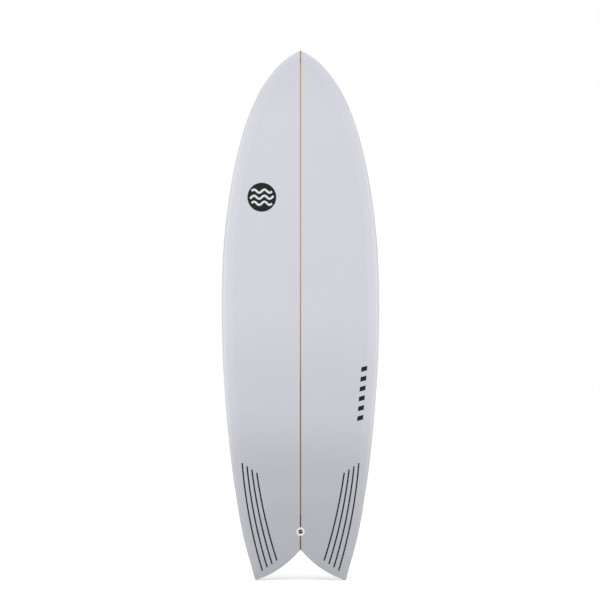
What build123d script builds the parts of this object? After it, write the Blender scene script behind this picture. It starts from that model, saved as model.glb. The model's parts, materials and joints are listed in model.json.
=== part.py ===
from build123d import *
import math
import os

# A swallow-tail fish surfboard, in mm, standing on its two tail tips.
# +Z runs from tail to nose, the deck faces -Y, the bottom faces +Y, and +X is right as seen from the deck.

# Hull, as (height above the tail tips, value) stations along the board.
LENGTH = 1829.0
HALF_WIDTHS = [(0, 157), (154, 200), (305, 227), (610, 261), (914, 274), (1219, 262)]
HALF_WIDTHS += [(1524, 207), (1663, 155.5), (1732, 114), (1800, 51), (LENGTH, 2.5)]
ROCKER = [(0, 71), (206, 41.5), (483, 17), (761, 2.5), (934, 0), (1177, 3.5)]
ROCKER += [(1385, 18), (1593, 45), (1731, 74), (1801, 97), (LENGTH, 119)]
THICKNESSES = [(0, 13), (67, 29), (137, 40), (275, 53), (483, 63), (930, 70), (1177, 69)]
THICKNESSES += [(1385, 64), (1593, 54), (1731, 42), (1801, 26), (LENGTH, 7)]
# The hull is lofted through this many sections, which draw closer together towards the nose.
SECTIONS = 44
SECTION_CROWDING = 1.5
SECTION_HEIGHTS = [LENGTH * (1 - (1 - k / SECTIONS) ** SECTION_CROWDING) for k in range(SECTIONS)]

# Cross-section: how high the rail's widest line sits, and how full each quarter curve is.
APEX_SHARE = 0.42
DECK_REACH = 0.62
DECK_FULLNESS = 0.75
BOTTOM_REACH = 0.93
BOTTOM_FULLNESS = 0.85

# The glass laminate, where its two layers meet on the rail, and the swallow tail's cut on the right as a
# Bezier curve's control points (x, z).
GLASS = 0.9
SEAM_SHARE = 0.30
CUT_CURVE = [(0, 105.5), (39.7, 57.1), (93.3, 19.3), (153, 0)]

# The stringer, and the dark hardwood let into its deck edge at the tail.
STRINGER_WIDTH = 4.5
INSERT_TOP = 226.0
INSERT_FOOT = 60.0
INSERT_DEPTH = 7.0

# Carbon strips set into the glass: the outermost deck strip's ends as (x, z), and the step to the next.
STRIP_WIDTH = 5.0
DECK_STRIPS = 4
DECK_STRIP_TOP = (202.1, 404.0)
DECK_STRIP_TOP_STEP = (-16.9, -11.0)
DECK_STRIP_FOOT = (131.8, 32.0)
DECK_STRIP_FOOT_STEP = (-16.8, 11.9)
DECK_STRIP_BOW = 10.2
DECK_STRIP_BOW_STEP = -1.1
BOTTOM_STRIP_ENDS = (462.5, 1250.0)
BOTTOM_STRIP_PITCH = 15.2
BOTTOM_STRIP_STAGGER = 25.0

# Fin boxes: the (x, z) of each one's middle, its flange, and the body below the flange.
FIN_PLACES = {"front": (182.0, 350.5), "rear": (149.0, 200.0)}
TOE_IN = 1.2
BOX_LENGTH = 141.0
BOX_WIDTH = 33.0
FLANGE_DEPTH = 4.0
BODY_LENGTH = 126.0
BODY_WIDTH = 22.0
BODY_DEPTH = 19.0
RESIN_MARGIN = 2.5
RESIN_UNDER_FLANGE = 0.5
RESIN_UNDER_BODY = 1.0
NOTCH_RADIUS = 3.2
NOTCH_REACH = 5.2
NOTCH_TOOL = 10.0
NOTCH_PITCH = 24.5
NOTCHES_PER_SIDE = 6
WINDOW_AT = -66.0
WINDOW_SIZE = (3.5, 7.0)
WINDOW_CORNER = 1.5

# The slot for a fin's base, and the two pockets below it for the fin's tabs.
SLOT_WIDTH = 7.0
SLOT_DEPTH = 4.0
POCKET_DEPTH = 15.0
POCKET_END_RADIUS = 4.2
FRONT_POCKET = (8.0, 45.8)
REAR_POCKET = (-50.5, -22.0)

# Grub screws, which lean towards their pocket.
SCREW_AT = 57.3
SCREW_LEAN = 22.0
SCREW_RADIUS = 3.5
SCREW_LENGTH = 9.0
SCREW_SINK = 1.2
SCREW_CLEARANCE = 0.06
SCREW_CHAMFER = 0.8
SOCKET_ACROSS = 4.0
SOCKET_DEPTH = 4.0
SEAT_RADIUS = 4.9

# The sprung barrel that holds a fin's front tab, and the rubber buffer behind it.
BARREL_RADIUS = 2.0
BARREL_LENGTH = 10.0
BARREL_AT = 34.5
BARREL_SINK = 8.0
BARREL_PROUD = 1.5
BARREL_CLEARANCE = 0.06
BARREL_CHAMFER = 0.4
BUFFER_GAP = 0.1
BUFFER_BACK = 9.8
BUFFER_SIZE = (9.0, 3.4)
BUFFER_CORNER = 0.8
CAVITY_LAP = 2.5

# Leash plug, on the stringer.
LEASH_HEIGHT = 168.0
LEASH_RADIUS = 12.5
LEASH_LIP = 2.5
LEASH_BODY_RADIUS = 11.0
LEASH_DEPTH = 20.0
LEASH_HOLLOW_RADIUS = 7.0
LEASH_HOLLOW_DEPTH = 15.0
LEASH_PIN_RADIUS = 2.0
LEASH_PIN_LENGTH = 19.0
LEASH_PIN_SINK = 6.0

# Printed marks in the glass: a round one on each side, a row of bars along one rail, a lozenge at the tail.
MARK_RADIUS = 50.0
DECK_MARK = (-134.0, 1325.0)
BOTTOM_MARK = (132.0, 1320.0)
BARS = 6
BAR_SIZE = (20.0, 16.0)
BAR_SLANT = 20.0
BAR_ROW = ((207.0, 560.0), (221.0, 730.0))
LOZENGE_HEIGHT = 293.5
LOZENGE_SIDE = 56.0
LOZENGE_CORNER = 8.0
LOZENGE_LINE = 3.0

# Tools that cut or keep a shape reach this far past it.
FAR = 400.0
BEYOND = 20.0
ABOVE = 6.0
TOP_SHIFT = (ROCKER[-1][1] + THICKNESSES[-1][1]) / 2


def along(stations, height):
    """The value at a height, on the smooth curve through the stations."""
    spans = list(zip(stations, stations[1:]))
    slopes = [(v1 - v0) / (z1 - z0) for (z0, v0), (z1, v1) in spans]
    tangents = [slopes[0]] + [(a + b) / 2 for a, b in zip(slopes, slopes[1:])] + [slopes[-1]]
    i = max(k for k, ((z0, v0), end) in enumerate(spans) if k == 0 or z0 <= height)
    (z0, v0), (z1, v1) = spans[i]
    span = z1 - z0
    t = (height - z0) / span
    start = (1 + 2 * t) * (1 - t) ** 2 * v0 + t * (1 - t) ** 2 * span * tangents[i]
    end = t * t * (3 - 2 * t) * v1 - t * t * (1 - t) * span * tangents[i + 1]
    return start + end


def bottom_line(height):
    """Y of the bottom on the stringer. The whole board is centred on Y = 0."""
    return TOP_SHIFT - along(ROCKER, height)


def deck_line(height):
    return bottom_line(height) - along(THICKNESSES, height)


def quarters(height, inset=0.0):
    """The right half of the hull's section: control points of its deck curve and of its bottom curve."""
    step = 1.0
    slope = (along(HALF_WIDTHS, height + step) - along(HALF_WIDTHS, height - step)) / (2 * step)
    width = along(HALF_WIDTHS, height) - inset * math.hypot(1, slope)
    bottom = bottom_line(height) - inset
    deck = deck_line(height) + inset
    apex = bottom_line(height) - APEX_SHARE * along(THICKNESSES, height)
    deck_rail = apex + DECK_FULLNESS * (deck - apex)
    bottom_rail = apex + BOTTOM_FULLNESS * (bottom - apex)
    upper = [(0, deck), (DECK_REACH * width, deck), (width, deck_rail), (width, apex)]
    lower = [(width, apex), (width, bottom_rail), (BOTTOM_REACH * width, bottom), (0, bottom)]
    return upper, lower


def section(height, inset):
    """The hull's whole cross-section, smaller all round by inset."""
    upper, lower = quarters(height, inset)
    edges = []
    for curve in (upper, lower):
        edges.append(Edge.make_bezier(*[(x, y, height) for x, y in curve]))
    for curve in (lower, upper):
        edges.append(Edge.make_bezier(*[(-x, y, height) for x, y in reversed(curve)]))
    return Face(Wire(edges))


def hull(inset):
    """The board's body before its tail is cut, smaller all round by inset."""
    heights = [max(z, inset) for z in SECTION_HEIGHTS] + [LENGTH - 3 * inset]
    return loft([section(z, inset) for z in heights])


def prism(shape, low=-FAR, high=FAR):
    """A flat shape with its X across the board and its Y along it, made solid from Y = low to Y = high."""
    return Pos(0, high, 0) * extrude(Plane.XZ * shape, high - low)


def tail_cut(inset):
    """What the swallow tail leaves out, moved up by an inset measured square to its 45 degree sides."""
    right = Bezier(*CUT_CURVE)
    left = Bezier(*[(-x, z) for x, z in CUT_CURVE])
    tip = CUT_CURVE[-1][0]
    base = Polyline((tip, 0), (tip, -BEYOND), (-tip, -BEYOND), (-tip, 0))
    shape = make_face(Curve() + [right, base, left])
    return Pos(0, 0, inset * math.sqrt(2)) * prism(shape)


def deck_side():
    """Everything on the deck's side of the seam, which runs round the rail between the two layers of glass."""
    line = []
    for z in [-BEYOND] + SECTION_HEIGHTS[1:] + [LENGTH + BEYOND]:
        inside = min(max(z, 0), LENGTH)
        line.append((bottom_line(inside) - SEAM_SHARE * along(THICKNESSES, inside), z))
    back = Polyline(line[-1], (-FAR, line[-1][1]), (-FAR, line[0][1]), line[0])
    shape = make_face(Curve() + [Spline(line), back])
    return Pos(-FAR, 0, 0) * extrude(Plane.YZ * shape, 2 * FAR)


def surface_point(x, z):
    """The point of the bottom at (x, z)."""
    lower = quarters(z)[1]
    low, high = 0.0, 1.0
    for _ in range(40):
        u = (low + high) / 2
        weights = ((1 - u) ** 3, 3 * (1 - u) ** 2 * u, 3 * (1 - u) * u * u, u ** 3)
        at_x = sum(w * p[0] for w, p in zip(weights, lower))
        at_y = sum(w * p[1] for w, p in zip(weights, lower))
        if at_x > abs(x):
            low = u
        else:
            high = u
    return Vector(x, at_y, z)


def box_plane(end, side):
    """A fin box's own frame: X to the nose with the toe-in, Z out of the bottom, Y across to the right."""
    x, z = FIN_PLACES[end]
    x *= side
    half_span = 40.0
    half_width = 8.0
    lengthwise = surface_point(x, z + half_span) - surface_point(x, z - half_span)
    across = surface_point(x + half_width, z) - surface_point(x - half_width, z)
    normal = lengthwise.cross(across).normalized()
    toe = Vector(-side * math.sin(math.radians(TOE_IN)), 0, math.cos(math.radians(TOE_IN)))
    return Plane(origin=surface_point(x, z), x_dir=toe - normal * toe.dot(normal), z_dir=normal)


def capsule(length, width, low, high):
    return Pos(0, 0, low) * extrude(SlotOverall(length, width), high - low)


def trough(start, end, width, depth):
    """A slot cut down from above the surface, with rounded ends centred on start and end."""
    length = end - start + width
    return Pos((start + end) / 2, 0, 0) * capsule(length, width, -depth, ABOVE)


def box_outside():
    """A fin box's outer shape, before its slot, pockets and holes are cut."""
    flange = capsule(BOX_LENGTH, BOX_WIDTH, -FLANGE_DEPTH, ABOVE)
    for i in range(NOTCHES_PER_SIDE):
        x = (i - (NOTCHES_PER_SIDE - 1) / 2) * NOTCH_PITCH
        for side in (1, -1):
            y = side * (BOX_WIDTH / 2 - NOTCH_REACH + NOTCH_RADIUS + NOTCH_TOOL / 2)
            notch = capsule(NOTCH_TOOL + 2 * NOTCH_RADIUS, 2 * NOTCH_RADIUS, -FLANGE_DEPTH - 1, ABOVE + 1)
            flange -= Pos(x, y, 0) * Rot(0, 0, 90) * notch
    window = extrude(RectangleRounded(*WINDOW_SIZE, WINDOW_CORNER), FLANGE_DEPTH + ABOVE + 2)
    flange -= Pos(WINDOW_AT, 0, -FLANGE_DEPTH - 1) * window
    return flange + capsule(BODY_LENGTH, BODY_WIDTH, -BODY_DEPTH, -FLANGE_DEPTH + 1)


def screw_place(end):
    """A grub screw's frame: Z along it, out of the box, from the surface. End is 1 at the nose, -1 at the tail."""
    return Pos(end * SCREW_AT, 0, 0) * Rot(0, end * SCREW_LEAN, 0)


def barrel_y():
    return SLOT_WIDTH / 2 - BARREL_PROUD + BARREL_RADIUS


def box_cuts(outboard):
    """Everything that is cut out of a fin box, with its barrel on the outboard side."""
    cuts = trough(REAR_POCKET[0], FRONT_POCKET[1], SLOT_WIDTH, SLOT_DEPTH)
    for pocket in (FRONT_POCKET, REAR_POCKET):
        cuts += trough(*pocket, SLOT_WIDTH, POCKET_DEPTH)
    for x in (FRONT_POCKET[1], REAR_POCKET[0]):
        cuts += Pos(x, 0, 0) * cylinder_between(POCKET_END_RADIUS, -POCKET_DEPTH, ABOVE)
    for end in (1, -1):
        reach = SCREW_SINK + SCREW_LENGTH
        hole = cylinder_between(SCREW_RADIUS + SCREW_CLEARANCE, -reach - 1, ABOVE)
        cuts += screw_place(end) * (hole + cylinder_between(SEAT_RADIUS, -SCREW_SINK, ABOVE))
    length = BARREL_LENGTH + 2 * BARREL_CLEARANCE
    height = 2 * (BARREL_RADIUS + BARREL_CLEARANCE)
    inboard = SLOT_WIDTH / 2 - CAVITY_LAP
    room = Box(length, BUFFER_BACK - inboard, height)
    cuts += Pos(BARREL_AT, outboard * (BUFFER_BACK + inboard) / 2, -BARREL_SINK) * room
    return cuts


def cylinder_between(radius, low, high):
    return Pos(0, 0, low) * extrude(Circle(radius), high - low)


def grub_screw():
    body = cylinder_between(SCREW_RADIUS, -SCREW_SINK - SCREW_LENGTH, -SCREW_SINK)
    body = chamfer(body.edges().group_by(Axis.Z)[0], SCREW_CHAMFER)
    hexagon = RegularPolygon(SOCKET_ACROSS / 2, 6, major_radius=False)
    return body - Pos(0, 0, -SCREW_SINK - SOCKET_DEPTH) * extrude(hexagon, SOCKET_DEPTH + 1)


def barrel(outboard):
    shape = Rot(0, 90, 0) * Cylinder(BARREL_RADIUS, BARREL_LENGTH)
    shape = chamfer(shape.edges().filter_by(GeomType.CIRCLE), BARREL_CHAMFER)
    return Pos(BARREL_AT, outboard * barrel_y(), -BARREL_SINK) * shape


def buffer(outboard):
    front = barrel_y() + BARREL_RADIUS + BUFFER_GAP
    shape = Box(BUFFER_SIZE[0], BUFFER_BACK - front, BUFFER_SIZE[1])
    shape = fillet(shape.edges().filter_by(Axis.Y), BUFFER_CORNER)
    return Pos(BARREL_AT, outboard * (front + BUFFER_BACK) / 2, -BARREL_SINK) * shape


def fin_box(end, side, outer):
    """One fin box's pieces by name, and the routed pocket that it is set in with resin."""
    place = box_plane(end, side)
    outside = box_outside()
    margin = 2 * RESIN_MARGIN
    room = capsule(BOX_LENGTH + margin, BOX_WIDTH + margin, -FLANGE_DEPTH - RESIN_UNDER_FLANGE, ABOVE)
    room += capsule(BODY_LENGTH + margin, BODY_WIDTH + margin, -BODY_DEPTH - RESIN_UNDER_BODY, 0)
    pocket = place * room
    pieces = {
        "fin_box": (place * (outside - box_cuts(side))) & outer,
        "resin": (pocket - place * outside) & outer,
        "nose_end_screw": place * screw_place(1) * grub_screw(),
        "tail_end_screw": place * screw_place(-1) * grub_screw(),
        "barrel": place * barrel(side),
        "buffer": place * buffer(side),
    }
    side_name = "right" if side == 1 else "left"
    return {f"{end}_{side_name}_{name}": piece for name, piece in pieces.items()}, pocket


def leash_plug(outer):
    """The leash plug's pieces by name, and the routed hole that it is set in with resin."""
    step = 10.0
    low = Vector(0, deck_line(LEASH_HEIGHT - step), LEASH_HEIGHT - step)
    high = Vector(0, deck_line(LEASH_HEIGHT + step), LEASH_HEIGHT + step)
    normal = Vector(1, 0, 0).cross(high - low)
    place = Plane(origin=(low + high) * 0.5, x_dir=(1, 0, 0), z_dir=normal)
    outside = cylinder_between(LEASH_RADIUS, -LEASH_LIP, ABOVE)
    outside += cylinder_between(LEASH_BODY_RADIUS, -LEASH_DEPTH, 0)
    room = cylinder_between(LEASH_RADIUS + RESIN_MARGIN, -LEASH_DEPTH - RESIN_UNDER_BODY, ABOVE)
    pin = Pos(0, 0, -LEASH_PIN_SINK) * Rot(0, 90, 0) * Cylinder(LEASH_PIN_RADIUS, LEASH_PIN_LENGTH)
    cup = outside - cylinder_between(LEASH_HOLLOW_RADIUS, -LEASH_HOLLOW_DEPTH, ABOVE) - pin
    pocket = place * room
    pieces = {
        "leash_cup": (place * cup) & outer,
        "leash_pin": place * pin,
        "leash_resin": (pocket - place * outside) & outer,
    }
    return pieces, pocket


def strip(path):
    return trace(path, STRIP_WIDTH)


def deck_strips():
    """Shapes of the deck's carbon strips by name, numbered from the rail inwards."""
    shapes = {}
    for i in range(DECK_STRIPS):
        top = Vector(*DECK_STRIP_TOP) + Vector(*DECK_STRIP_TOP_STEP) * i
        foot = Vector(*DECK_STRIP_FOOT) + Vector(*DECK_STRIP_FOOT_STEP) * i
        crown = (top + foot) * 0.5 + Vector(DECK_STRIP_BOW + i * DECK_STRIP_BOW_STEP, 0)
        right = strip(ThreePointArc(top, crown, foot))
        shapes[f"deck_strip_right_{i + 1}"] = right
        shapes[f"deck_strip_left_{i + 1}"] = mirror(right, Plane.YZ)
    return shapes


def bottom_strips():
    """Shapes of the bottom's carbon strips by name, from left to right as seen from the deck."""
    shapes = {}
    for i in range(-2, 3):
        low = BOTTOM_STRIP_ENDS[0] + abs(i) * BOTTOM_STRIP_STAGGER
        high = BOTTOM_STRIP_ENDS[1] - abs(i) * BOTTOM_STRIP_STAGGER
        x = i * BOTTOM_STRIP_PITCH
        shapes[f"bottom_strip_{i + 3}"] = strip(Line((x, low), (x, high)))
    return shapes


def bars(side):
    """A row of slanted bars that follows one rail."""
    (x0, z0), (x1, z1) = BAR_ROW
    lean = -math.degrees(math.atan2(x1 - x0, z1 - z0))
    width, height = BAR_SIZE
    rise = math.tan(math.radians(BAR_SLANT)) * width / 2
    outline = Polyline(
        (-width / 2, -height / 2 - rise),
        (width / 2, -height / 2 + rise),
        (width / 2, height / 2 + rise),
        (-width / 2, height / 2 - rise),
        close=True,
    )
    row = Sketch()
    for i in range(BARS):
        share = i / (BARS - 1)
        place = Pos(x0 + share * (x1 - x0), z0 + share * (z1 - z0)) * Rot(0, 0, lean)
        row += place * make_face(outline)
    return row if side == 1 else mirror(row, Plane.YZ)


def lozenge():
    inner_side = LOZENGE_SIDE - 2 * LOZENGE_LINE
    outer_edge = RectangleRounded(LOZENGE_SIDE, LOZENGE_SIDE, LOZENGE_CORNER)
    inner_edge = RectangleRounded(inner_side, inner_side, LOZENGE_CORNER - LOZENGE_LINE)
    return Pos(0, LOZENGE_HEIGHT) * Rot(0, 0, 45) * (outer_edge - inner_edge)


def inlay(skin, shapes):
    """Sets each flat shape into a layer of glass, through its whole thickness. Returns the rest of the layer."""
    pieces = {}
    for name, shape in shapes.items():
        tool = prism(shape)
        pieces[name] = skin & tool
        skin = skin - tool
    return skin, pieces


def insert_side():
    """Everything within the hardwood insert's depth of the deck, over its length."""
    spans = 3
    heights = [INSERT_FOOT + k * (INSERT_TOP - INSERT_FOOT) / spans for k in range(spans + 1)]
    line = [(deck_line(z) + INSERT_DEPTH, z) for z in heights]
    back = Polyline(line[-1], (-FAR, INSERT_TOP), (-FAR, INSERT_FOOT), line[0])
    shape = make_face(Curve() + [Spline(line), back])
    return Pos(-FAR, 0, 0) * extrude(Plane.YZ * shape, 2 * FAR)


def without(shape, pockets):
    """A shape with the pockets of the fin boxes and the leash plug cut out."""
    for pocket in pockets:
        shape = shape - pocket
    return shape


def main():
    outer = hull(0) - tail_cut(0)
    inner = hull(GLASS) - tail_cut(GLASS)
    fins = [fin_box(end, side, outer) for end in FIN_PLACES for side in (1, -1)]
    leash, leash_pocket = leash_plug(outer)
    pockets = [pocket for _, pocket in fins] + [leash_pocket]

    right_half = Pos(FAR + STRINGER_WIDTH / 2, 0, 0) * Box(2 * FAR, 2 * FAR, 3 * LENGTH)
    foam_right = without(inner & right_half, pockets)
    foam_left = without(inner & mirror(right_half, Plane.YZ), pockets)
    stringer = without(inner & Box(STRINGER_WIDTH, 2 * FAR, 3 * LENGTH), pockets)
    shell = without(outer - inner, pockets)
    deck_glass = shell & deck_side()
    bottom_glass = shell - deck_side()

    deck_shapes = deck_strips()
    deck_shapes["deck_mark"] = Pos(*DECK_MARK) * Circle(MARK_RADIUS)
    deck_shapes["deck_bars"] = bars(1)
    bottom_shapes = bottom_strips()
    bottom_shapes["bottom_mark"] = Pos(*BOTTOM_MARK) * Circle(MARK_RADIUS)
    bottom_shapes["bottom_bars"] = bars(-1)
    bottom_shapes["tail_lozenge"] = lozenge()
    deck_glass, deck_pieces = inlay(deck_glass, deck_shapes)
    bottom_glass, bottom_pieces = inlay(bottom_glass, bottom_shapes)

    parts = {
        "foam_right": foam_right,
        "foam_left": foam_left,
        "stringer": stringer - insert_side(),
        "tail_insert": stringer & insert_side(),
        "deck_glass": deck_glass,
        "bottom_glass": bottom_glass,
        **deck_pieces,
        **bottom_pieces,
        **leash,
    }
    for pieces, _ in fins:
        parts.update(pieces)

    os.makedirs("parts", exist_ok=True)
    for name, part in parts.items():
        export_step(part, f"parts/{name}.step")


main()
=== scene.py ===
import json
import math

import bmesh
import bpy
import numpy as np
from mathutils import Matrix, Vector


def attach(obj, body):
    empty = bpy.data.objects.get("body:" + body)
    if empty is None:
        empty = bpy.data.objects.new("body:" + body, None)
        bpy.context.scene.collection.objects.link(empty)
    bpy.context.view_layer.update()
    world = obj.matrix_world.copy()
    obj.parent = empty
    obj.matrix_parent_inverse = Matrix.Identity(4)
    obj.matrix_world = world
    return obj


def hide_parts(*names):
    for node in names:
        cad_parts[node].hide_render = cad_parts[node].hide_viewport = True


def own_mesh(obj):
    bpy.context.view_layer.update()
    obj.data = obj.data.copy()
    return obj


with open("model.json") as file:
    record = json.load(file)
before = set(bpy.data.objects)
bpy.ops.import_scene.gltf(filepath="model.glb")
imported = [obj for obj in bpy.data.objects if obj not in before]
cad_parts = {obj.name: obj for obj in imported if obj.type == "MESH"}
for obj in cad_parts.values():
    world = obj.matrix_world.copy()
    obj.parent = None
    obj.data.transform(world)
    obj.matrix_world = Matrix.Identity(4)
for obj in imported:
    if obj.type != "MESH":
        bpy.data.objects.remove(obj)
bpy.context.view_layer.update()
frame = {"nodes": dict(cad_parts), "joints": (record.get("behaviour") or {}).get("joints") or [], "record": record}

MM = 0.001
NODES = frame["nodes"]
BOARD = "board"

# ------------------------------------------------------------------------------------------------
# The hull, in mm: +Z from tail to nose, the deck faces -Y. The same stations and section as the CAD's.
# ------------------------------------------------------------------------------------------------
LENGTH = 1829.0
HALF_WIDTHS = [(0, 157), (154, 200), (305, 227), (610, 261), (914, 274), (1219, 262)]
HALF_WIDTHS += [(1524, 207), (1663, 155.5), (1732, 114), (1800, 51), (LENGTH, 2.5)]
ROCKER = [(0, 71), (206, 41.5), (483, 17), (761, 2.5), (934, 0), (1177, 3.5)]
ROCKER += [(1385, 18), (1593, 45), (1731, 74), (1801, 97), (LENGTH, 119)]
THICKNESSES = [(0, 13), (67, 29), (137, 40), (275, 53), (483, 63), (930, 70), (1177, 69)]
THICKNESSES += [(1385, 64), (1593, 54), (1731, 42), (1801, 26), (LENGTH, 7)]
TOP_SHIFT = (ROCKER[-1][1] + THICKNESSES[-1][1]) / 2
APEX_SHARE = 0.42
DECK_REACH = 0.62
DECK_FULLNESS = 0.75
BOTTOM_REACH = 0.93
BOTTOM_FULLNESS = 0.85
GLASS = 0.9
SEAM_SHARE = 0.30
CUT_CURVE = [(0, 105.5), (39.7, 57.1), (93.3, 19.3), (153, 0)]
STRINGER_HALF = 2.25
INSERT_TOP = 226.0

# The rounding of the tail's edges, of its two tips, and of the nose's end.
EDGE_ROUND = 2.5
TIP_ROUND = 3.0
NOSE_ROUND = 4.0

# Mesh density. Below LOBE_TOP the grid's rows follow the tail's cut, and above it they are level.
SIDE_COLUMNS = 34
RAIL_TURNS = (0.964, 0.982, 1.0, 1.04, 1.08)
EDGE_STEPS = 4
WALL_STEPS = 4
LOBE_TOP = 190.0
LOBE_ROWS = 26
ROW_STEP = 9.0
ROW_CROWDING = 1.5
NOSE_ANGLES = (22.5, 45, 67.5, 80, 90)

# How closely curves are solved, and what counts as one point or as a sliver.
HALVINGS = 48
LOBE_PASSES = 40
SAME_POINT = 0.01
SHORT_EDGE = 0.005
CUT_SAME_POINT = 0.005
CUT_SHORT_EDGE = 0.002
SHARP_ANGLE = 35

# The skins' material slots, after the white glass in the first one.
STRINGER_SLOT = 1
INSERT_SLOT = 2


def along(stations, z):
    """The values at heights z, on the smooth curve through the stations."""
    heights, values = np.array(stations, float).T
    slopes = np.diff(values) / np.diff(heights)
    tangents = np.concatenate([slopes[:1], (slopes[1:] + slopes[:-1]) / 2, slopes[-1:]])
    i = np.clip(np.searchsorted(heights, z, side="right") - 1, 0, len(heights) - 2)
    span = heights[i + 1] - heights[i]
    t = (z - heights[i]) / span
    start = (1 + 2 * t) * (1 - t) ** 2 * values[i] + t * (1 - t) ** 2 * span * tangents[i]
    end = t * t * (3 - 2 * t) * values[i + 1] - t * t * (1 - t) * span * tangents[i + 1]
    return start + end


def bezier(points, t):
    """A cubic curve's value at t from its four control values."""
    a, b, c, d = points
    return (1 - t) ** 3 * a + 3 * (1 - t) ** 2 * t * b + 3 * (1 - t) * t * t * c + t ** 3 * d


def solved(rising, target, low=0.0, high=1.0):
    """Where a rising function reaches each target value."""
    low = np.full_like(target, low, dtype=float)
    high = np.full_like(target, high, dtype=float)
    for _ in range(HALVINGS):
        middle = (low + high) / 2
        short = rising(middle) < target
        low = np.where(short, middle, low)
        high = np.where(short, high, middle)
    return (low + high) / 2


def half_width(z):
    rounding = np.clip(TIP_ROUND - z, 0, TIP_ROUND)
    return along(HALF_WIDTHS, z) - TIP_ROUND + np.sqrt(TIP_ROUND ** 2 - rounding ** 2)


def bottom_line(z):
    return TOP_SHIFT - along(ROCKER, z)


def deck_share(t):
    """How far out the deck's curve has come at t, as a share of the half width."""
    return bezier((0, DECK_REACH, 1, 1), t)


def bottom_share(t):
    """The same for the bottom's curve, with t from its middle to the rail."""
    return bezier((0, BOTTOM_REACH, 1, 1), t)


def deck_y(share, z):
    deck = bottom_line(z) - along(THICKNESSES, z)
    apex = bottom_line(z) - APEX_SHARE * along(THICKNESSES, z)
    rail = apex + DECK_FULLNESS * (deck - apex)
    return bezier((deck, deck, rail, apex), solved(deck_share, share))


def bottom_y(share, z):
    bottom = bottom_line(z)
    apex = bottom - APEX_SHARE * along(THICKNESSES, z)
    rail = apex + BOTTOM_FULLNESS * (bottom - apex)
    return bezier((bottom, bottom, rail, apex), solved(bottom_share, share))


def seam_y(z):
    return bottom_line(z) - SEAM_SHARE * along(THICKNESSES, z)


def seam_from_middle():
    """The bottom curve's t where it meets the seam, which is the same all along the board."""
    rail = APEX_SHARE * (1 - BOTTOM_FULLNESS)
    return float(solved(lambda t: bezier((0, 0, rail, APEX_SHARE), t), np.array([SEAM_SHARE]))[0])


SEAM = seam_from_middle()
SEAM_OUT = float(bottom_share(SEAM))


def around(turn, z):
    """A point of the hull's right half. Turn is 0 on the deck's middle, 1 on the rail and 2 on the bottom's
    middle."""
    width = half_width(z)
    upper = np.clip(turn, 0, 1)
    lower = np.clip(2 - turn, 0, 1)
    thick = along(THICKNESSES, z)
    bottom = bottom_line(z)
    deck = bottom - thick
    apex = bottom - APEX_SHARE * thick
    deck_rail = apex + DECK_FULLNESS * (deck - apex)
    bottom_rail = apex + BOTTOM_FULLNESS * (bottom - apex)
    on_deck = turn < 1
    share = np.where(on_deck, deck_share(upper), bottom_share(lower))
    y = np.where(
        on_deck,
        bezier((deck, deck, deck_rail, apex), upper),
        bezier((bottom, bottom, bottom_rail, apex), lower),
    )
    return share * width, y


def cut_height(x):
    """Height of the swallow tail's edge at x, and its slope there."""
    xs, zs = zip(*CUT_CURVE)
    t = solved(lambda u: bezier(xs, u), np.clip(x, 0, xs[-1]))
    step = 1e-3
    low, high = np.clip(t - step, 0, 1), np.clip(t + step, 0, 1)
    slope = (bezier(zs, high) - bezier(zs, low)) / (bezier(xs, high) - bezier(xs, low))
    past = x > xs[-1]
    return np.where(past, 0, bezier(zs, t)), np.where(past, 0, slope)


def row_height(row, x):
    """Height at x of a row of the hull's grid. A row is its distance from the tail's edge, and its share
    of the way to LOBE_TOP."""
    distance, share = row
    cut, slope = cut_height(x)
    return (1 - share) * (cut + distance * np.hypot(1, slope)) + share * LOBE_TOP


def shares_at(part, z):
    """Share of the half width at part of the way from the stringer's edge, 0, to the seam's line, 1. A part
    under 0 stands for the board's middle."""
    edge = STRINGER_HALF / half_width(z)
    return np.where(part < 0, 0, edge + (SEAM_OUT - edge) * part)


def turns_at(columns, z):
    """Turn of each column at heights z. A column is (side, part of the way out) or ("turn", turn)."""
    turns = []
    for i, (side, value) in enumerate(columns):
        if side == "turn":
            turns.append(np.full_like(z[:, i], value))
        elif side == "deck":
            turns.append(solved(deck_share, shares_at(value, z[:, i])))
        else:
            turns.append(2 - solved(bottom_share, shares_at(value, z[:, i])))
    return np.stack(turns, axis=1)


PARTS_OUT = [float(bottom_share(SEAM * i / SIDE_COLUMNS)) / SEAM_OUT for i in range(SIDE_COLUMNS + 1)]
DECK_COLUMNS = [("deck", -1)] + [("deck", part) for part in PARTS_OUT]
RAIL_COLUMNS = [("turn", turn) for turn in (*RAIL_TURNS, 2 - SEAM)]
SEAM_COLUMN = len(DECK_COLUMNS) - 1
BOTTOM_COLUMNS = [("bottom", -1)] + [("bottom", part) for part in PARTS_OUT]


def lobe_points(distances, shares, columns):
    """Points and turns of the grid's rows from the tail's edge up to LOBE_TOP. A row's height depends on x
    and its x on the height, so each is worked out from the other until they agree."""
    distance = np.array(distances)[:, None] * np.ones((1, len(columns)))
    share = np.array(shares)[:, None] * np.ones((1, len(columns)))
    z = share * LOBE_TOP + (1 - share) * LOBE_TOP / 3
    for _ in range(LOBE_PASSES):
        turn = turns_at(columns, z)
        x, y = around(turn, z)
        z = row_height((distance, share), x)
    turn = turns_at(columns, z)
    x, y = around(turn, z)
    return np.stack([x, y, z], axis=2), turn


def upper_heights():
    """Heights of the grid's rows above LOBE_TOP, closer together towards the nose. One of them is at the
    insert's top."""
    span = LENGTH - NOSE_ROUND - LOBE_TOP
    count = int(ROW_CROWDING * span / ROW_STEP)
    heights = [LENGTH - NOSE_ROUND - span * (1 - k / count) ** ROW_CROWDING for k in range(1, count + 1)]
    return np.array(sorted(heights + [INSERT_TOP]))


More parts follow.
